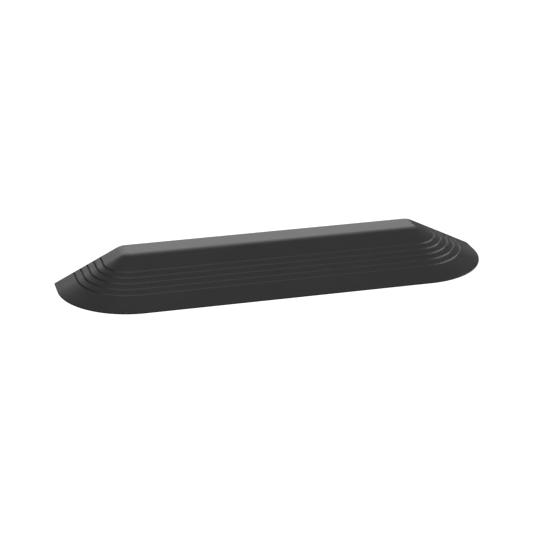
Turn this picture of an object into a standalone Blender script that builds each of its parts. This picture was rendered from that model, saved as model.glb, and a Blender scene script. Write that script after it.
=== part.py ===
"""Portable wheelchair ramp: one hollow, ribbed moulding that stands on push-in rubber feet.

A narrow flat landing runs along the vertical back face. The front and both ends slope down
from it at one gradient and join in rounded corners. Five grip grooves follow the slopes round.
Their steep walls face up the slope, so that they hold a wheel or a shoe from sliding down.

Frame: +Z up, +X along the width, +Y towards the back face that meets the door step.
The origin is on the floor, in the middle of the width and of the depth. Metres throughout.
"""
import math

import bmesh
import bpy
from mathutils import Matrix

# Outer shape
WIDTH = 1.100
RUN = 0.170                      # plan length of the front slope and of each end slope
LANDING_DEPTH = 0.067            # flat top, from the back face to the top of the front slope
HEIGHT = 0.088                   # floor to landing
FOOT_PROUD = 0.0015              # the feet lift the moulding's rim this far off the floor
TOE_THICKNESS = 0.002            # upright edge along the foot of the slopes
LANDING_CORNER_RADIUS = 0.015    # plan radius of the landing's two front corners
LANDING_EDGE_RADIUS = 0.048      # rounding between the landing and the slopes

# Grip grooves: sawtooth notches with a steep lower wall that faces up the slope
GROOVE_COUNT = 5
GROOVE_START = 0.0474            # plan distance from the toe to the first groove's lower edge
GROOVE_PITCH = 0.0169            # in plan
GROOVE_WIDTH = 0.0051            # measured along the slope
GROOVE_DEPTH = 0.0021
GROOVE_WALL_SHARE = 0.22         # part of the width that the steep wall takes
GROOVE_END_GAP = 0.0015          # the grooves stop this far short of the back face

# Inside of the moulding
WALL = 0.005
TOE_BAND = 0.016                 # solid strip behind the toe
RIB_THICKNESS = 0.003
RIB_PITCH = 0.0825               # between the ribs that run front to back
LONG_RIB_OFFSETS = (0.030, 0.1135, 0.197)    # from the back face to the ribs along the width
LONG_RIB_NAMES = ("back", "middle", "front")
BOSS_RADIUS = 0.009
STEM_HOLE_RADIUS = 0.005

# Rubber feet
FOOT_RIB_STEP = 2                # a foot at every second front-to-back rib
FOOT_EDGE_DISTANCE = 0.030       # least distance from a foot's centre to the toe
FOOT_RADIUS = 0.013
FOOT_PAD_THICKNESS = 0.0045
FOOT_CHAMFER = 0.0012
FOOT_STEM_RADIUS = 0.0042
FOOT_BARB_RADIUS = 0.0047
FOOT_BARB_START = 0.0085
FOOT_STEM_TOP = 0.0125
FOOT_STEM_TIP_RADIUS = 0.0032
FIT_GAP = 0.0003                 # clearance round each foot in its seat

# Fineness of the round shapes
CORNER_STEPS = 12
LANDING_EDGE_STEPS = 4
ROUND_SIDES = 16
SMOOTH_ANGLE = math.radians(30)

# Worked out from the sizes above
DEPTH = RUN + LANDING_DEPTH
BACK_Y = DEPTH / 2
FRONT_Y = -DEPTH / 2
RIM_Z = FOOT_PROUD
TOE_TOP_Z = RIM_Z + TOE_THICKNESS
GRADIENT = (HEIGHT - TOE_TOP_Z) / RUN
SLOPE_ANGLE = math.atan(GRADIENT)
CORNER_CENTRE_X = WIDTH / 2 - RUN - LANDING_CORNER_RADIUS
CORNER_CENTRE_Y = FRONT_Y + RUN + LANDING_CORNER_RADIUS
TOE_CORNER_RADIUS = RUN + LANDING_CORNER_RADIUS
CUTTER_MARGIN = 0.010            # how far a cutting shape reaches past the material


def clear_scene():
    for obj in list(bpy.data.objects):
        bpy.data.objects.remove(obj, do_unlink=True)


def make_material(name, colour, roughness):
    material = bpy.data.materials.new(name)
    material.use_nodes = True
    shader = material.node_tree.nodes["Principled BSDF"]
    shader.inputs["Base Color"].default_value = (*colour, 1.0)
    shader.inputs["Roughness"].default_value = roughness
    shader.inputs["Metallic"].default_value = 0.0
    return material


def mesh_from(bm, name):
    bmesh.ops.recalc_face_normals(bm, faces=bm.faces)
    mesh = bpy.data.meshes.new(name)
    bm.to_mesh(mesh)
    bm.free()
    return mesh


def place_object(name, mesh, location=(0.0, 0.0, 0.0)):
    obj = bpy.data.objects.new(name, mesh)
    obj.location = location
    bpy.context.scene.collection.objects.link(obj)
    return obj


def place_cutter(name, mesh):
    cutter = place_object(name, mesh)
    cutter.hide_render = True
    cutter.display_type = "WIRE"
    return cutter


def add_boolean(obj, operation, tool):
    modifier = obj.modifiers.new(tool.name, "BOOLEAN")
    modifier.operation = operation
    modifier.solver = "EXACT"
    modifier.object = tool


def slope_height(inset):
    """Height of the plain slope at a plan distance in from the toe."""
    return TOE_TOP_Z + GRADIENT * inset


def groove_points(start):
    """The three corners of one groove, across the slope, as (inset, height) points."""
    points = []
    for along, sunk in ((0.0, 0.0), (GROOVE_WALL_SHARE * GROOVE_WIDTH, GROOVE_DEPTH), (GROOVE_WIDTH, 0.0)):
        inset = start + along * math.cos(SLOPE_ANGLE) + sunk * math.sin(SLOPE_ANGLE)
        height = slope_height(start) + along * math.sin(SLOPE_ANGLE) - sunk * math.cos(SLOPE_ANGLE)
        points.append((inset, height))
    return points


def landing_edge_points():
    """Arc that joins the slope to the landing, as (inset, height) points."""
    arc_inset = RUN + LANDING_EDGE_RADIUS * math.tan(SLOPE_ANGLE / 2)
    arc_height = HEIGHT - LANDING_EDGE_RADIUS
    points = []
    for step in range(LANDING_EDGE_STEPS + 1):
        angle = SLOPE_ANGLE * (1 - step / LANDING_EDGE_STEPS)
        points.append((arc_inset - LANDING_EDGE_RADIUS * math.sin(angle),
                       arc_height + LANDING_EDGE_RADIUS * math.cos(angle)))
    return points


def outer_profile():
    """Section of the outside from the rim up to the landing, as (inset, height) points.

    Also gives the numbers of the points that are sunk in a groove.
    """
    points = [(0.0, RIM_Z), (0.0, TOE_TOP_Z)]
    sunk = set()
    for k in range(GROOVE_COUNT):
        groove = groove_points(GROOVE_START + GROOVE_PITCH * k)
        sunk.update(range(len(points) + 1, len(points) + len(groove) - 1))
        points += groove
    return points + landing_edge_points(), sunk


def inner_profile():
    """Section of the hollow: under the rim, up behind the toe band, along the slope, to the landing."""
    drop = WALL / math.cos(SLOPE_ANGLE)
    ceiling = HEIGHT - WALL
    top_inset = (ceiling + drop - TOE_TOP_Z) / GRADIENT
    return [(TOE_BAND, RIM_Z - CUTTER_MARGIN),
            (TOE_BAND, slope_height(TOE_BAND) - drop),
            (top_inset, ceiling)]


def outline(inset, back_y):
    """Plan line of the sloping sides moved in by inset, from the left end round to the right end."""
    radius = TOE_CORNER_RADIUS - inset
    left_half = [(-WIDTH / 2 + inset, back_y), (-WIDTH / 2 + inset, back_y - GROOVE_END_GAP)]
    for step in range(CORNER_STEPS + 1):
        angle = math.pi + math.pi / 2 * step / CORNER_STEPS
        left_half.append((-CORNER_CENTRE_X + radius * math.cos(angle),
                          CORNER_CENTRE_Y + radius * math.sin(angle)))
    right_half = [(-x, y) for x, y in reversed(left_half)]
    return left_half + right_half


def swept_mesh(name, profile, back_y, sunk=()):
    """Closed solid: the profile swept round the three sloping sides, with a flat bottom, top and back.

    The sunk points of the profile stop short of the back, each groove with an upright end wall.
    """
    bm = bmesh.new()
    rings = []
    for inset, height in profile:
        rings.append([bm.verts.new((x, y, height)) for x, y in outline(inset, back_y)])
    for lower, upper in zip(rings, rings[1:]):
        for k in range(1, len(lower) - 2):
            bm.faces.new((lower[k], lower[k + 1], upper[k + 1], upper[k]))
    through = [k for k in range(len(rings)) if k not in sunk]
    for lower, upper in zip(through, through[1:]):
        for end, inner in ((0, 1), (-1, -2)):
            bm.faces.new((rings[lower][end], rings[lower][inner], rings[upper][inner], rings[upper][end]))
            if upper > lower + 1:
                bm.faces.new([ring[inner] for ring in rings[lower:upper + 1]])
    bm.faces.new(rings[0])
    bm.faces.new(rings[-1])
    bm.faces.new([rings[k][0] for k in through] + [rings[k][-1] for k in reversed(through)])
    bmesh.ops.delete(bm, geom=[vert for vert in bm.verts if not vert.link_faces], context="VERTS")
    return mesh_from(bm, name)


def add_box(bm, low, high):
    size = [b - a for a, b in zip(low, high)]
    middle = [(a + b) / 2 for a, b in zip(low, high)]
    bmesh.ops.create_cube(bm, size=1.0, matrix=Matrix.Translation(middle) @ Matrix.Diagonal((*size, 1.0)))


def add_post(bm, x, y, radius, bottom, top):
    """Upright cylinder."""
    bmesh.ops.create_cone(bm, cap_ends=True, segments=ROUND_SIDES, radius1=radius, radius2=radius,
                          depth=top - bottom, matrix=Matrix.Translation((x, y, (bottom + top) / 2)))


def posts_mesh(name, places, radius, bottom, top):
    bm = bmesh.new()
    for x, y in places:
        add_post(bm, x, y, radius, bottom, top)
    return mesh_from(bm, name)


def spans_between(ribs, low, high):
    """Clear spans that the ribs leave between low and high."""
    starts = [low] + [rib + RIB_THICKNESS / 2 for rib in ribs]
    ends = [rib - RIB_THICKNESS / 2 for rib in ribs] + [high]
    return list(zip(starts, ends))


def cross_rib_places():
    """X of each rib that runs front to back."""
    count = int((WIDTH / 2 - TOE_BAND) / RIB_PITCH)
    return [RIB_PITCH * k for k in range(-count, count + 1)]


def long_rib_places():
    """Y of each rib that runs along the width, from the back to the front."""
    return [BACK_Y - offset for offset in LONG_RIB_OFFSETS]


def cells_mesh():
    """One box for each space between the ribs, taller than the ramp."""
    bm = bmesh.new()
    across = spans_between(cross_rib_places(), -WIDTH / 2, WIDTH / 2)
    deep = spans_between(sorted(long_rib_places()), FRONT_Y, BACK_Y)
    for x_low, x_high in across:
        for y_low, y_high in deep:
            add_box(bm, (x_low, y_low, -CUTTER_MARGIN), (x_high, y_high, HEIGHT))
    return mesh_from(bm, "cells")


def distance_to_toe(x, y):
    """Plan distance from a point under the ramp to the nearest sloping side's toe."""
    beyond_x = abs(x) - CORNER_CENTRE_X
    beyond_y = CORNER_CENTRE_Y - y
    if beyond_x > 0 and beyond_y > 0:
        return TOE_CORNER_RADIUS - math.hypot(beyond_x, beyond_y)
    return TOE_CORNER_RADIUS - max(beyond_x, beyond_y)


def foot_places():
    """Name and plan position of each foot: on the rib crossings that are far enough from the toe."""
    places = {}
    half_count = int(len(cross_rib_places()) / 2 / FOOT_RIB_STEP)
    for row, y in zip(LONG_RIB_NAMES, long_rib_places()):
        columns = [FOOT_RIB_STEP * RIB_PITCH * k for k in range(-half_count, half_count + 1)]
        kept = [x for x in columns if distance_to_toe(x, y) > FOOT_EDGE_DISTANCE]
        for number, x in enumerate(kept, start=1):
            places[f"foot_{row}_{number}"] = (x, y)
    return places


def build_shell(feet):
    """The moulding: outer skin, rib grid, a boss for each foot, and a seat for each foot's pad."""
    places = list(feet.values())
    core = place_cutter("core", swept_mesh("core", inner_profile(), BACK_Y - WALL))
    bosses = place_cutter("bosses", posts_mesh("bosses", places, BOSS_RADIUS, -2 * CUTTER_MARGIN,
                                               HEIGHT + CUTTER_MARGIN))

    pockets = place_cutter("pockets", cells_mesh())
    add_boolean(pockets, "DIFFERENCE", bosses)
    add_boolean(pockets, "INTERSECT", core)

    stem_holes = place_cutter("stem_holes", posts_mesh("stem_holes", places, STEM_HOLE_RADIUS,
                                                       -CUTTER_MARGIN, HEIGHT))
    add_boolean(stem_holes, "INTERSECT", core)

    seat_top = FOOT_PAD_THICKNESS + FIT_GAP
    seats = place_cutter("seats", posts_mesh("seats", places, FOOT_RADIUS + FIT_GAP,
                                             -CUTTER_MARGIN, seat_top))

    profile, sunk = outer_profile()
    shell_mesh = swept_mesh("ramp_shell", profile, BACK_Y, sunk)
    shell_mesh.shade_smooth()
    shell_mesh.set_sharp_from_angle(angle=SMOOTH_ANGLE)
    shell_mesh.materials.append(make_material("shell_plastic", (0.035, 0.035, 0.036), 0.45))
    shell = place_object("ramp_shell", shell_mesh)
    for tool in (pockets, stem_holes, seats):
        add_boolean(shell, "DIFFERENCE", tool)


def foot_mesh():
    """Turned rubber foot: a round pad with a bevelled tread, and a barbed stem that pushes into a boss."""
    section = [(0.0, 0.0),
               (FOOT_RADIUS - FOOT_CHAMFER, 0.0),
               (FOOT_RADIUS, FOOT_CHAMFER),
               (FOOT_RADIUS, FOOT_PAD_THICKNESS),
               (FOOT_STEM_RADIUS, FOOT_PAD_THICKNESS),
               (FOOT_STEM_RADIUS, FOOT_BARB_START),
               (FOOT_BARB_RADIUS, FOOT_BARB_START),
               (FOOT_STEM_TIP_RADIUS, FOOT_STEM_TOP),
               (0.0, FOOT_STEM_TOP)]
    bm = bmesh.new()
    corners = [bm.verts.new((radius, 0.0, height)) for radius, height in section]
    edges = [bm.edges.new(pair) for pair in zip(corners, corners[1:])]
    bmesh.ops.spin(bm, geom=corners + edges, cent=(0, 0, 0), axis=(0, 0, 1),
                   angle=math.tau, steps=ROUND_SIDES, use_merge=True)
    bmesh.ops.remove_doubles(bm, verts=bm.verts, dist=0.00001)
    mesh = mesh_from(bm, "foot")
    mesh.shade_smooth()
    mesh.set_sharp_from_angle(angle=SMOOTH_ANGLE)
    mesh.materials.append(make_material("foot_rubber", (0.012, 0.012, 0.012), 0.8))
    return mesh


def build_feet(feet):
    """All feet share one mesh, whose origin is in the middle of the tread, on the floor."""
    mesh = foot_mesh()
    for name, (x, y) in feet.items():
        place_object(name, mesh, (x, y, 0.0))


def main():
    clear_scene()
    feet = foot_places()
    build_shell(feet)
    build_feet(feet)


main()
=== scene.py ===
import math

import bmesh
import bpy
from mathutils import Matrix, Vector


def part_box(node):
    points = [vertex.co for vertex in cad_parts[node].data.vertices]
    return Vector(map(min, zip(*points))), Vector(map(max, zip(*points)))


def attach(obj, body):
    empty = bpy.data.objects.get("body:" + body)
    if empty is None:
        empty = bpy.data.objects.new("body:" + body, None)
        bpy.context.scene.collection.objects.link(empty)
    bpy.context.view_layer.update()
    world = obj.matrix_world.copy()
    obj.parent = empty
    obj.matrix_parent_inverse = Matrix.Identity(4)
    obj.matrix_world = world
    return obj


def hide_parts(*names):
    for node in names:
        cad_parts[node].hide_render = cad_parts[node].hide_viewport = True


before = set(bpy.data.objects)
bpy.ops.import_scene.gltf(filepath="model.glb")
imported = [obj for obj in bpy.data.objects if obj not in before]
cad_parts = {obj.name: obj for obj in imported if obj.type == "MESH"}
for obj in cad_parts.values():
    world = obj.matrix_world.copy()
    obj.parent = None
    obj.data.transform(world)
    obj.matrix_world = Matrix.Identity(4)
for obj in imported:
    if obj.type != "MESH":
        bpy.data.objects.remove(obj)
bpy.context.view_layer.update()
shell_low, shell_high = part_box("ramp_shell")

# Outer shape of the moulding, in metres. The overall sizes come from the frame.
WIDTH = shell_high.x - shell_low.x
HEIGHT = shell_high.z
BACK_Y = shell_high.y
FRONT_Y = shell_low.y
RIM_Z = shell_low.z
RUN = 0.170                      # plan length of the front slope and of each end slope
TOE_THICKNESS = 0.002
TOE_ROUNDING = 0.0004
LANDING_CORNER_RADIUS = 0.015
LANDING_EDGE_RADIUS = 0.048      # rounding between the landing and the slopes

# Grip grooves: sawtooth notches with a steep lower wall that faces up the slope
GROOVE_COUNT = 5
GROOVE_START = 0.0474            # plan distance from the toe to the first groove's lower edge
GROOVE_PITCH = 0.0169            # in plan
GROOVE_WIDTH = 0.0051            # measured along the slope
GROOVE_DEPTH = 0.0021
GROOVE_WALL_SHARE = 0.22         # part of the width that the steep wall takes
GROOVE_END_GAP = 0.0015          # the grooves stop this far short of the back face
GROOVE_SETBACK = 0.00005         # how far from each of its corners the rounding starts

# Inside of the moulding
WALL = 0.005
TOE_BAND = 0.016                 # solid strip behind the toe
RIB_THICKNESS = 0.003            # at the rim; the ribs thicken towards the skin
RIB_DRAFT = math.radians(0.6)
RIB_PITCH = 0.0825
RIB_DECIMALS = 4                 # the feet's places are rounded to this when they set the long ribs
BOSS_RADIUS = 0.009
BOSS_SPREAD = 0.0008             # how much wider a boss is at the skin than at its rim
STEM_HOLE_RADIUS = 0.005
STEM_HOLE_TAPER = 0.0004         # how much narrower a stem's hole is at its top
SEAT_GAP = 0.0003                # clearance round a foot's pad

# Rubber feet: their pads and heights come from the frame
PAD_THICKNESS = 0.0045
PAD_EDGE_RADIUS = 0.0012
TREAD_GROOVE_RADII = (0.0035, 0.0065, 0.0095)
TREAD_GROOVE_WIDTH = 0.0010
TREAD_GROOVE_DEPTH = 0.0005
STEM_RADIUS = 0.0042
STEM_FILLET = 0.0005             # where the stem meets the pad
BARB_RADIUS = 0.0047
BARB_START = 0.0085
BARB_LIP = 0.0006                # height of the barb's straight rim
STEM_TIP_RADIUS = 0.0032
STEM_TIP_ROUNDING = 0.0006

# Fineness of the shapes
CORNER_STEPS = 48
GROOVE_CORNER_STEPS = 4
LANDING_EDGE_STEPS = 20
TOE_ROUNDING_STEPS = 4
ROUND_SIDES = 48
ARC_STEPS = 4
SMOOTH_ANGLE = math.radians(30)

# Worked out from the sizes above
TOE_TOP_Z = RIM_Z + TOE_THICKNESS
GRADIENT = (HEIGHT - TOE_TOP_Z) / RUN
SLOPE_ANGLE = math.atan(GRADIENT)
TOE_CORNER_RADIUS = RUN + LANDING_CORNER_RADIUS
CORNER_CENTRE_X = WIDTH / 2 - TOE_CORNER_RADIUS
CORNER_CENTRE_Y = FRONT_Y + TOE_CORNER_RADIUS
CUTTER_MARGIN = 0.010            # how far a cutting shape reaches past the material

# Finishes. Scales are in features per metre, and colours are linear.
SHELL_DARK = (0.0450, 0.0450, 0.0456)
SHELL_LIGHT = (0.0520, 0.0520, 0.0526)
SHELL_ROUGHNESS = 0.369
CLOUD_SCALE = 14.0
CLOUD_DETAIL = 3.0
CLOUD_SHADE = 0.4                # how far a light cloud goes from the dark colour to the light one
CLOUD_GLOSS = 0.012              # how much the clouds raise and lower the roughness
SCUFF_SCALE = 30.0
SCUFF_DETAIL = 2.0
SCUFF_STRETCH = (18.0, 1.0, 1.0)
SCUFF_START, SCUFF_FULL = 0.66, 0.80     # noise values between which a scuff builds up
SCUFF_SHADE = 0.6
SCUFF_ROUGHNESS = 0.06
GRAIN_SCALE = 1300.0
GRAIN_DETAIL = 2.0
GRAIN_STRENGTH = 0.25
GRAIN_HEIGHT = 0.00006
NOISE_LOW, NOISE_HIGH = 0.3, 0.7         # the range that holds nearly all of a noise's values
RUBBER_DARK = (0.016, 0.016, 0.016)
RUBBER_DUST = (0.040, 0.039, 0.037)
DUST_SCALE = 260.0
DUST_DETAIL = 4.0
DUST_START, DUST_FULL = 0.45, 0.75
RUBBER_SMOOTHEST, RUBBER_ROUGHEST = 0.72, 0.88
RUBBER_GRAIN_SCALE = 2200.0
RUBBER_GRAIN_DETAIL = 3.0
RUBBER_GRAIN_STRENGTH = 0.35
RUBBER_GRAIN_HEIGHT = 0.00012

# Camera
CAMERA_PLACE = (-1.0368, -3.7580, 1.6131)
CAMERA_YAW = math.radians(14.9626)       # turned from looking along +Y towards +X
CAMERA_PITCH = math.radians(22.0071)     # looking down
CAMERA_SENSOR = 36.0                     # millimetres, as is the lens
CAMERA_LENS = 113.208

# Studio. Each light has an azimuth, an elevation and a half angle, as seen from the ramp and in
# degrees, then its distance and radiance. The low light is partly hidden by the floor.
LIGHT_TARGET = (0.0, 0.0, 0.04)
LIGHTS = {
    "back_light": (7.9, 24.05, 25.2, 7.76, 1.41),
    "right_light": (101.3, 9.1, 31.0, 5.89, 2.255),
    "front_left_light": (-146.7, 53.5, 37.0, 9.0, 0.796),
    "low_back_light": (52.0, -10.5, 18.7, 7.16, 0.617),
}
FILL_RADIANCE = 0.089
FLOOR_HALF_SIZE = 4.0
FLOOR_BOUNCE = 0.8               # how much light the floor sends on to the ramp
FLOOR_SEEN = 1.2                 # how bright the camera sees the floor and what lies past it
SHADOW_GREY = 0.02
SHADOW_LIFT = 0.0002


def mesh_from(bm, name):
    bmesh.ops.recalc_face_normals(bm, faces=bm.faces)
    mesh = bpy.data.meshes.new(name)
    bm.to_mesh(mesh)
    bm.free()
    return mesh


def place_object(name, mesh, location=(0.0, 0.0, 0.0)):
    obj = bpy.data.objects.new(name, mesh)
    obj.location = location
    bpy.context.scene.collection.objects.link(obj)
    return obj


def add_boolean(obj, operation, tool):
    modifier = obj.modifiers.new(tool.name, "BOOLEAN")
    modifier.operation = operation
    modifier.solver = "EXACT"
    modifier.object = tool


def apply_modifiers(obj):
    """Gives the object the mesh that its modifiers make, and removes them."""
    graph = bpy.context.evaluated_depsgraph_get()
    made = bpy.data.meshes.new_from_object(obj.evaluated_get(graph))
    obj.modifiers.clear()
    obj.data = made


def shade_smoothly(obj):
    """Smooth shading over the rounded edges only: the normals of the large faces stay as they are."""
    obj.data.shade_smooth()
    obj.data.set_sharp_from_angle(angle=SMOOTH_ANGLE)
    obj.modifiers.new("normals", "WEIGHTED_NORMAL").keep_sharp = True
    apply_modifiers(obj)


# ---------------------------------------------------------------- the moulding

def slope_height(inset):
    """Height of the plain slope at a plan distance in from the toe."""
    return TOE_TOP_Z + GRADIENT * inset


def toe_points():
    """Upright toe edge with its top corner rounded, as (inset, height) points."""
    half_turn = (math.pi / 2 - SLOPE_ANGLE) / 2
    reach = TOE_ROUNDING * math.tan(half_turn)
    points = [(0.0, RIM_Z)]
    for step in range(TOE_ROUNDING_STEPS + 1):
        angle = 2 * half_turn * step / TOE_ROUNDING_STEPS
        points.append((TOE_ROUNDING * (1 - math.cos(angle)),
                       TOE_TOP_Z - reach + TOE_ROUNDING * math.sin(angle)))
    return points


def rounded_corner(before, corner, after):
    """Points of a short curve that takes the place of a sharp corner between two straight lines."""
    start = corner + (before - corner).normalized() * GROOVE_SETBACK
    end = corner + (after - corner).normalized() * GROOVE_SETBACK
    points = []
    for step in range(GROOVE_CORNER_STEPS + 1):
        share = step / GROOVE_CORNER_STEPS
        points.append(start.lerp(corner, share).lerp(corner.lerp(end, share), share))
    return points


def groove_points(start):
    """Section of one groove, across the slope, with its corners rounded, as (inset, height) points."""
    up_slope = Vector((math.cos(SLOPE_ANGLE), math.sin(SLOPE_ANGLE)))
    inwards = Vector((math.sin(SLOPE_ANGLE), -math.cos(SLOPE_ANGLE)))
    lower = Vector((start, slope_height(start)))
    bottom = lower + up_slope * GROOVE_WALL_SHARE * GROOVE_WIDTH + inwards * GROOVE_DEPTH
    upper = lower + up_slope * GROOVE_WIDTH
    return (rounded_corner(lower - up_slope, lower, bottom) + rounded_corner(lower, bottom, upper)
            + rounded_corner(bottom, upper, upper + up_slope))


def landing_edge_points():
    """Arc that joins the slope to the landing, as (inset, height) points."""
    arc_inset = RUN + LANDING_EDGE_RADIUS * math.tan(SLOPE_ANGLE / 2)
    arc_height = HEIGHT - LANDING_EDGE_RADIUS
    points = []
    for step in range(LANDING_EDGE_STEPS + 1):
        angle = SLOPE_ANGLE * (1 - step / LANDING_EDGE_STEPS)
        points.append((arc_inset - LANDING_EDGE_RADIUS * math.sin(angle),
                       arc_height + LANDING_EDGE_RADIUS * math.cos(angle)))
    return points


def outer_profile():
    """Section of the outside from the rim up to the landing, as (inset, height) points.

    Also gives the numbers of the points that are sunk in a groove.
    """
    points = toe_points()
    sunk = set()
    for k in range(GROOVE_COUNT):
        groove = groove_points(GROOVE_START + GROOVE_PITCH * k)
        sunk.update(range(len(points) + 1, len(points) + len(groove) - 1))
        points += groove
    return points + landing_edge_points(), sunk


def inner_profile():
    """Section of the hollow: under the rim, up behind the toe band, along the slope, to the landing."""
    drop = WALL / math.cos(SLOPE_ANGLE)
    ceiling = HEIGHT - WALL
    top_inset = (ceiling + drop - TOE_TOP_Z) / GRADIENT
    return [(TOE_BAND, RIM_Z - CUTTER_MARGIN),
            (TOE_BAND, slope_height(TOE_BAND) - drop),
            (top_inset, ceiling)]


def outline(inset, back_y):
    """Plan line of the sloping sides moved in by inset, from the left end round to the right end.

    The points next to its two ends are where the grooves stop.
    """
    radius = TOE_CORNER_RADIUS - inset
    left_half = [(-WIDTH / 2 + inset, back_y), (-WIDTH / 2 + inset, back_y - GROOVE_END_GAP)]
    for step in range(CORNER_STEPS + 1):
        angle = math.pi + math.pi / 2 * step / CORNER_STEPS
        left_half.append((-CORNER_CENTRE_X + radius * math.cos(angle),
                          CORNER_CENTRE_Y + radius * math.sin(angle)))
    right_half = [(-x, y) for x, y in reversed(left_half)]
    return left_half + right_half


def swept_mesh(name, profile, back_y, sunk=()):
    """Closed solid: the profile swept round the three sloping sides, with a flat bottom, top and back.

    The sunk points of the profile stop short of the back, each groove with an upright end wall.
    """
    bm = bmesh.new()
    rings = []
    for inset, height in profile:
        rings.append([bm.verts.new((x, y, height)) for x, y in outline(inset, back_y)])
    for lower, upper in zip(rings, rings[1:]):
        for k in range(1, len(lower) - 2):
            bm.faces.new((lower[k], lower[k + 1], upper[k + 1], upper[k]))
    through = [k for k in range(len(rings)) if k not in sunk]
    for lower, upper in zip(through, through[1:]):
        for end, inner in ((0, 1), (-1, -2)):
            bm.faces.new((rings[lower][end], rings[lower][inner], rings[upper][inner], rings[upper][end]))
            if upper > lower + 1:
                bm.faces.new([ring[inner] for ring in rings[lower:upper + 1]])
    bm.faces.new(rings[0])
    bm.faces.new(rings[-1])
    bm.faces.new([rings[k][0] for k in through] + [rings[k][-1] for k in reversed(through)])
    bmesh.ops.delete(bm, geom=[vert for vert in bm.verts if not vert.link_faces], context="VERTS")
    return mesh_from(bm, name)


def add_tapered_box(bm, low, high):
    """Box whose sides lean in towards its top by the ribs' draft."""
    lean = math.tan(RIB_DRAFT) * (high[2] - low[2])
    middle = Vector(((low[0] + high[0]) / 2, (low[1] + high[1]) / 2, (low[2] + high[2]) / 2))
    made = bmesh.ops.create_cube(bm, size=1.0)
    for vert in made["verts"]:
        narrower = lean if vert.co.z > 0 else 0.0
        vert.co.x *= high[0] - low[0] - 2 * narrower
        vert.co.y *= high[1] - low[1] - 2 * narrower
        vert.co.z *= high[2] - low[2]
        vert.co += middle


def posts_mesh(name, places, bottom_radius, top_radius, bottom, top):
    bm = bmesh.new()
    for x, y in places:
        bmesh.ops.create_cone(bm, cap_ends=True, segments=ROUND_SIDES, radius1=bottom_radius,
                              radius2=top_radius, depth=top - bottom,
                              matrix=Matrix.Translation((x, y, (bottom + top) / 2)))
    return mesh_from(bm, name)


def spans_between(ribs, low, high):
    """Clear spans that the ribs leave between low and high."""
    starts = [low] + [rib + RIB_THICKNESS / 2 for rib in ribs]
    ends = [rib - RIB_THICKNESS / 2 for rib in ribs] + [high]
    return list(zip(starts, ends))


def cells_mesh(long_ribs):
    """One tapered box for each space between the ribs, from below the rim to above the landing."""
    bm = bmesh.new()
    count = int((WIDTH / 2 - TOE_BAND) / RIB_PITCH)
    cross_ribs = [RIB_PITCH * k for k in range(-count, count + 1)]
    for x_low, x_high in spans_between(cross_ribs, -WIDTH / 2, WIDTH / 2):
        for y_low, y_high in spans_between(long_ribs, FRONT_Y, BACK_Y):
            add_tapered_box(bm, (x_low, y_low, RIM_Z - CUTTER_MARGIN), (x_high, y_high, HEIGHT))
    return mesh_from(bm, "cells")


def foot_boxes():
    """Name, lowest corner and highest corner of each foot, from the frame."""
    return {name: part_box(name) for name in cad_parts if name.startswith("foot_")}


def foot_middle(low, high):
    """Middle of a foot's box. The foot is round, so this is on its axis."""
    return (low + high) / 2


def foot_radius(low, high):
    return high.x - foot_middle(low, high).x


def build_shell(feet):
    """The moulding: outer skin, rib grid, a boss for each foot, and a seat for each foot's pad."""
    places = [tuple(foot_middle(low, high).xy) for low, high in feet.values()]
    long_ribs = sorted({round(y, RIB_DECIMALS) for x, y in places})
    below = RIM_Z - CUTTER_MARGIN
    seat_radius = foot_radius(*next(iter(feet.values()))) + SEAT_GAP

    core = place_object("core", swept_mesh("core", inner_profile(), BACK_Y - WALL))
    bosses = place_object("bosses", posts_mesh("bosses", places, BOSS_RADIUS, BOSS_RADIUS + BOSS_SPREAD,
                                               below - CUTTER_MARGIN, HEIGHT + CUTTER_MARGIN))
    pockets = place_object("pockets", cells_mesh(long_ribs))
    add_boolean(pockets, "DIFFERENCE", bosses)
    add_boolean(pockets, "INTERSECT", core)
    stem_holes = place_object("stem_holes", posts_mesh("stem_holes", places, STEM_HOLE_RADIUS,
                                                       STEM_HOLE_RADIUS - STEM_HOLE_TAPER, below, HEIGHT))
    add_boolean(stem_holes, "INTERSECT", core)
    seats = place_object("seats", posts_mesh("seats", places, seat_radius, seat_radius,
                                             below, PAD_THICKNESS + SEAT_GAP))

    profile, sunk = outer_profile()
    shell = place_object("moulded_shell", swept_mesh("moulded_shell", profile, BACK_Y, sunk))
    tools = (pockets, stem_holes, seats)
    for tool in tools:
        add_boolean(shell, "DIFFERENCE", tool)
    apply_modifiers(shell)
    for cutter in (*tools, core, bosses):
        bpy.data.objects.remove(cutter)
    shade_smoothly(shell)
    shell.data.materials.append(shell_plastic())
    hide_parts("ramp_shell")
    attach(shell, "root")


# ---------------------------------------------------------------- the feet

def arc_points(centre, radius, start, end):
    """Points of an arc, as (distance from the axis, height) points. The angles are in degrees."""
    points = []
    for step in range(ARC_STEPS + 1):
        angle = math.radians(start + (end - start) * step / ARC_STEPS)
        points.append((centre[0] + radius * math.cos(angle), centre[1] + radius * math.sin(angle)))
    return points


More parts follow.
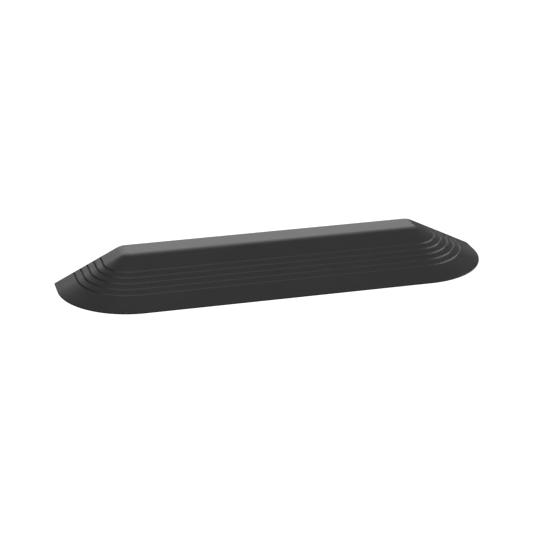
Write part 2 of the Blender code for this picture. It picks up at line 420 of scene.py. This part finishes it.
def foot_profile(pad_radius, top):
    """Section of one foot from the middle of its tread to its stem's tip.

    The points are (distance from the axis, height).
    """
    points = [(0.0, 0.0)]
    for radius in TREAD_GROOVE_RADII:
        inner, outer = radius - TREAD_GROOVE_WIDTH / 2, radius + TREAD_GROOVE_WIDTH / 2
        points += [(inner, 0.0), (radius, TREAD_GROOVE_DEPTH), (outer, 0.0)]
    points += arc_points((pad_radius - PAD_EDGE_RADIUS, PAD_EDGE_RADIUS), PAD_EDGE_RADIUS, -90, 0)
    points.append((pad_radius, PAD_THICKNESS))
    points += arc_points((STEM_RADIUS + STEM_FILLET, PAD_THICKNESS + STEM_FILLET), STEM_FILLET, 270, 180)
    points += [(STEM_RADIUS, BARB_START), (BARB_RADIUS, BARB_START), (BARB_RADIUS, BARB_START + BARB_LIP)]
    points += arc_points((STEM_TIP_RADIUS - STEM_TIP_ROUNDING, top - STEM_TIP_ROUNDING),
                         STEM_TIP_ROUNDING, 0, 90)
    points.append((0.0, top))
    return points


def turned_mesh(name, profile):
    """Closed solid of revolution about Z. The profile starts and ends on the axis."""
    bm = bmesh.new()
    turns = [2 * math.pi * k / ROUND_SIDES for k in range(ROUND_SIDES)]
    rings = [[bm.verts.new((0.0, 0.0, profile[0][1]))]]
    for radius, height in profile[1:-1]:
        rings.append([bm.verts.new((radius * math.cos(turn), radius * math.sin(turn), height))
                      for turn in turns])
    rings.append([bm.verts.new((0.0, 0.0, profile[-1][1]))])
    for lower, upper in zip(rings, rings[1:]):
        for k in range(ROUND_SIDES):
            after = (k + 1) % ROUND_SIDES
            corners = [lower[k % len(lower)], lower[after % len(lower)],
                       upper[after % len(upper)], upper[k % len(upper)]]
            bm.faces.new(list(dict.fromkeys(corners)))
    return mesh_from(bm, name)


def build_feet(feet):
    """Turned rubber feet with ringed treads. All share one mesh."""
    low, high = next(iter(feet.values()))
    mesh = turned_mesh("foot", foot_profile(foot_radius(low, high), high.z))
    mesh.shade_smooth()
    mesh.set_sharp_from_angle(angle=SMOOTH_ANGLE)
    mesh.materials.append(foot_rubber())
    for name, (low, high) in feet.items():
        place = (*foot_middle(low, high).xy, low.z)
        foot = place_object(name.replace("foot_", "rubber_foot_"), mesh, place)
        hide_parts(name)
        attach(foot, "root")


# ---------------------------------------------------------------- materials

def new_material(name):
    material = bpy.data.materials.new(name)
    material.use_nodes = True
    nodes = material.node_tree.nodes
    return material, nodes, material.node_tree.links, nodes["Principled BSDF"]


def add_noise(nodes, links, where, scale, detail):
    """Noise texture in the object's own metres; scale is in features per metre."""
    noise = nodes.new("ShaderNodeTexNoise")
    noise.inputs["Scale"].default_value = scale
    noise.inputs["Detail"].default_value = detail
    links.new(where, noise.inputs["Vector"])
    return noise.outputs["Fac"]


def add_range(nodes, links, value, from_low, from_high, to_low, to_high):
    """Maps a value from one range to another, and clamps it there."""
    mapped = nodes.new("ShaderNodeMapRange")
    links.new(value, mapped.inputs["Value"])
    mapped.inputs["From Min"].default_value = from_low
    mapped.inputs["From Max"].default_value = from_high
    mapped.inputs["To Min"].default_value = to_low
    mapped.inputs["To Max"].default_value = to_high
    return mapped.outputs["Result"]


def add_sum(nodes, links, first, second):
    total = nodes.new("ShaderNodeMath")
    total.operation = "ADD"
    links.new(first, total.inputs[0])
    links.new(second, total.inputs[1])
    return total.outputs["Value"]


def add_stretched(nodes, links, where, stretch):
    """The same coordinates squeezed along each axis, which draws noise out into streaks."""
    mapping = nodes.new("ShaderNodeMapping")
    mapping.inputs["Scale"].default_value = stretch
    links.new(where, mapping.inputs["Vector"])
    return mapping.outputs["Vector"]


def add_grey_mix(nodes, links, factor, first, second):
    """Colour that goes from the first grey to the second."""
    mix = nodes.new("ShaderNodeMix")
    mix.data_type = "RGBA"
    links.new(factor, mix.inputs["Factor"])
    first_colour, second_colour = [socket for socket in mix.inputs if socket.type == "RGBA"]
    first_colour.default_value = (*first, 1.0)
    second_colour.default_value = (*second, 1.0)
    return next(socket for socket in mix.outputs if socket.type == "RGBA")


def add_bump(nodes, links, height, strength, distance):
    bump = nodes.new("ShaderNodeBump")
    bump.inputs["Strength"].default_value = strength
    bump.inputs["Distance"].default_value = distance
    links.new(height, bump.inputs["Height"])
    return bump.outputs["Normal"]


def shell_plastic():
    """Black satin plastic: fine grain, faint clouds, and faint scuffs along the way that wheels roll."""
    material, nodes, links, shader = new_material("shell_plastic_moulded")
    where = nodes.new("ShaderNodeTexCoord").outputs["Object"]
    clouds = add_noise(nodes, links, where, CLOUD_SCALE, CLOUD_DETAIL)
    streaks = add_noise(nodes, links, add_stretched(nodes, links, where, SCUFF_STRETCH),
                        SCUFF_SCALE, SCUFF_DETAIL)
    scuffs = add_range(nodes, links, streaks, SCUFF_START, SCUFF_FULL, 0.0, 1.0)
    grain = add_noise(nodes, links, where, GRAIN_SCALE, GRAIN_DETAIL)
    shade = add_sum(nodes, links,
                    add_range(nodes, links, clouds, NOISE_LOW, NOISE_HIGH, 0.0, CLOUD_SHADE),
                    add_range(nodes, links, scuffs, 0.0, 1.0, 0.0, SCUFF_SHADE))
    links.new(add_grey_mix(nodes, links, shade, SHELL_DARK, SHELL_LIGHT), shader.inputs["Base Color"])
    gloss = add_sum(nodes, links,
                    add_range(nodes, links, clouds, NOISE_LOW, NOISE_HIGH,
                              SHELL_ROUGHNESS - CLOUD_GLOSS, SHELL_ROUGHNESS + CLOUD_GLOSS),
                    add_range(nodes, links, scuffs, 0.0, 1.0, 0.0, SCUFF_ROUGHNESS))
    links.new(gloss, shader.inputs["Roughness"])
    links.new(add_bump(nodes, links, grain, GRAIN_STRENGTH, GRAIN_HEIGHT), shader.inputs["Normal"])
    return material


def foot_rubber():
    """Matt black rubber with a coarse tacky grain and a little grey dust."""
    material, nodes, links, shader = new_material("foot_rubber_matt")
    where = nodes.new("ShaderNodeTexCoord").outputs["Object"]
    clouds = add_noise(nodes, links, where, DUST_SCALE, DUST_DETAIL)
    grain = add_noise(nodes, links, where, RUBBER_GRAIN_SCALE, RUBBER_GRAIN_DETAIL)
    dust = add_range(nodes, links, clouds, DUST_START, DUST_FULL, 0.0, 1.0)
    links.new(add_grey_mix(nodes, links, dust, RUBBER_DARK, RUBBER_DUST), shader.inputs["Base Color"])
    links.new(add_range(nodes, links, grain, NOISE_LOW, NOISE_HIGH, RUBBER_SMOOTHEST, RUBBER_ROUGHEST),
              shader.inputs["Roughness"])
    links.new(add_bump(nodes, links, grain, RUBBER_GRAIN_STRENGTH, RUBBER_GRAIN_HEIGHT),
              shader.inputs["Normal"])
    return material


# ---------------------------------------------------------------- stage

def build_camera():
    camera = bpy.data.objects.new("camera", bpy.data.cameras.new("camera"))
    camera.data.sensor_width = CAMERA_SENSOR
    camera.data.lens = CAMERA_LENS
    camera.location = CAMERA_PLACE
    camera.rotation_euler = (math.pi / 2 - CAMERA_PITCH, 0.0, -CAMERA_YAW)
    bpy.context.scene.collection.objects.link(camera)
    bpy.context.scene.camera = camera


def flat_stage_piece(name, outline_points, height, material):
    """Flat piece of the stage at the given height, which reflections don't show."""
    bm = bmesh.new()
    bm.faces.new([bm.verts.new((x, y, height)) for x, y in outline_points])
    piece = place_object(name, mesh_from(bm, name))
    piece.data.materials.append(material)
    piece.visible_glossy = False
    return piece


def build_floor():
    """Pale floor: the camera sees it as plain white, and it bounces light on to the ramp."""
    material, nodes, links, shader = new_material("floor_white")
    nodes.remove(shader)
    seen = nodes.new("ShaderNodeEmission")
    seen.inputs["Strength"].default_value = FLOOR_SEEN
    bounce = nodes.new("ShaderNodeBsdfDiffuse")
    bounce.inputs["Color"].default_value = (FLOOR_BOUNCE, FLOOR_BOUNCE, FLOOR_BOUNCE, 1.0)
    path = nodes.new("ShaderNodeLightPath")
    mix = nodes.new("ShaderNodeMixShader")
    links.new(path.outputs["Is Camera Ray"], mix.inputs["Fac"])
    links.new(bounce.outputs["BSDF"], mix.inputs[1])
    links.new(seen.outputs["Emission"], mix.inputs[2])
    links.new(mix.outputs["Shader"], nodes["Material Output"].inputs["Surface"])
    corner = FLOOR_HALF_SIZE
    flat_stage_piece("floor", [(-corner, -corner), (corner, -corner), (corner, corner), (-corner, corner)],
                     0.0, material)


def build_contact_shadow():
    """Dark patch on the floor under the moulding, seen through the gap that the feet leave."""
    material, nodes, links, shader = new_material("contact_shadow")
    shader.inputs["Base Color"].default_value = (SHADOW_GREY, SHADOW_GREY, SHADOW_GREY, 1.0)
    shader.inputs["Roughness"].default_value = 1.0
    patch = flat_stage_piece("contact_shadow", outline(0.0, BACK_Y), SHADOW_LIFT, material)
    patch.visible_diffuse = False


def build_world():
    """Even fill light from all round. Past the floor's edge the camera sees the same white."""
    world = bpy.data.worlds.new("studio")
    bpy.context.scene.world = world
    world.use_nodes = True
    nodes = world.node_tree.nodes
    links = world.node_tree.links
    fill = nodes["Background"]
    fill.inputs["Color"].default_value = (1.0, 1.0, 1.0, 1.0)
    fill.inputs["Strength"].default_value = FILL_RADIANCE
    backdrop = nodes.new("ShaderNodeBackground")
    backdrop.inputs["Color"].default_value = (1.0, 1.0, 1.0, 1.0)
    backdrop.inputs["Strength"].default_value = FLOOR_SEEN
    path = nodes.new("ShaderNodeLightPath")
    mix = nodes.new("ShaderNodeMixShader")
    links.new(path.outputs["Is Camera Ray"], mix.inputs["Fac"])
    links.new(fill.outputs["Background"], mix.inputs[1])
    links.new(backdrop.outputs["Background"], mix.inputs[2])
    links.new(mix.outputs["Shader"], nodes["World Output"].inputs["Surface"])


def build_light(name, azimuth, elevation, half_angle, distance, radiance):
    """Round soft light that faces the ramp. Azimuth 0 is behind the ramp, 90 to its right; degrees."""
    turn, rise = math.radians(azimuth), math.radians(elevation)
    towards = Vector((math.sin(turn) * math.cos(rise), math.cos(turn) * math.cos(rise), math.sin(rise)))
    radius = distance * math.tan(math.radians(half_angle))
    data = bpy.data.lights.new(name, "AREA")
    data.shape = "DISK"
    data.size = 2 * radius
    data.energy = radiance * math.pi * math.pi * radius * radius
    light = bpy.data.objects.new(name, data)
    light.location = Vector(LIGHT_TARGET) + towards * distance
    light.rotation_euler = towards.to_track_quat("Z", "Y").to_euler()
    light.visible_camera = False
    bpy.context.scene.collection.objects.link(light)


feet = foot_boxes()
build_shell(feet)
build_feet(feet)
build_camera()
build_floor()
build_contact_shadow()
build_world()
for name, placing in LIGHTS.items():
    build_light(name, *placing)
bpy.context.scene.view_settings.view_transform = "Standard"
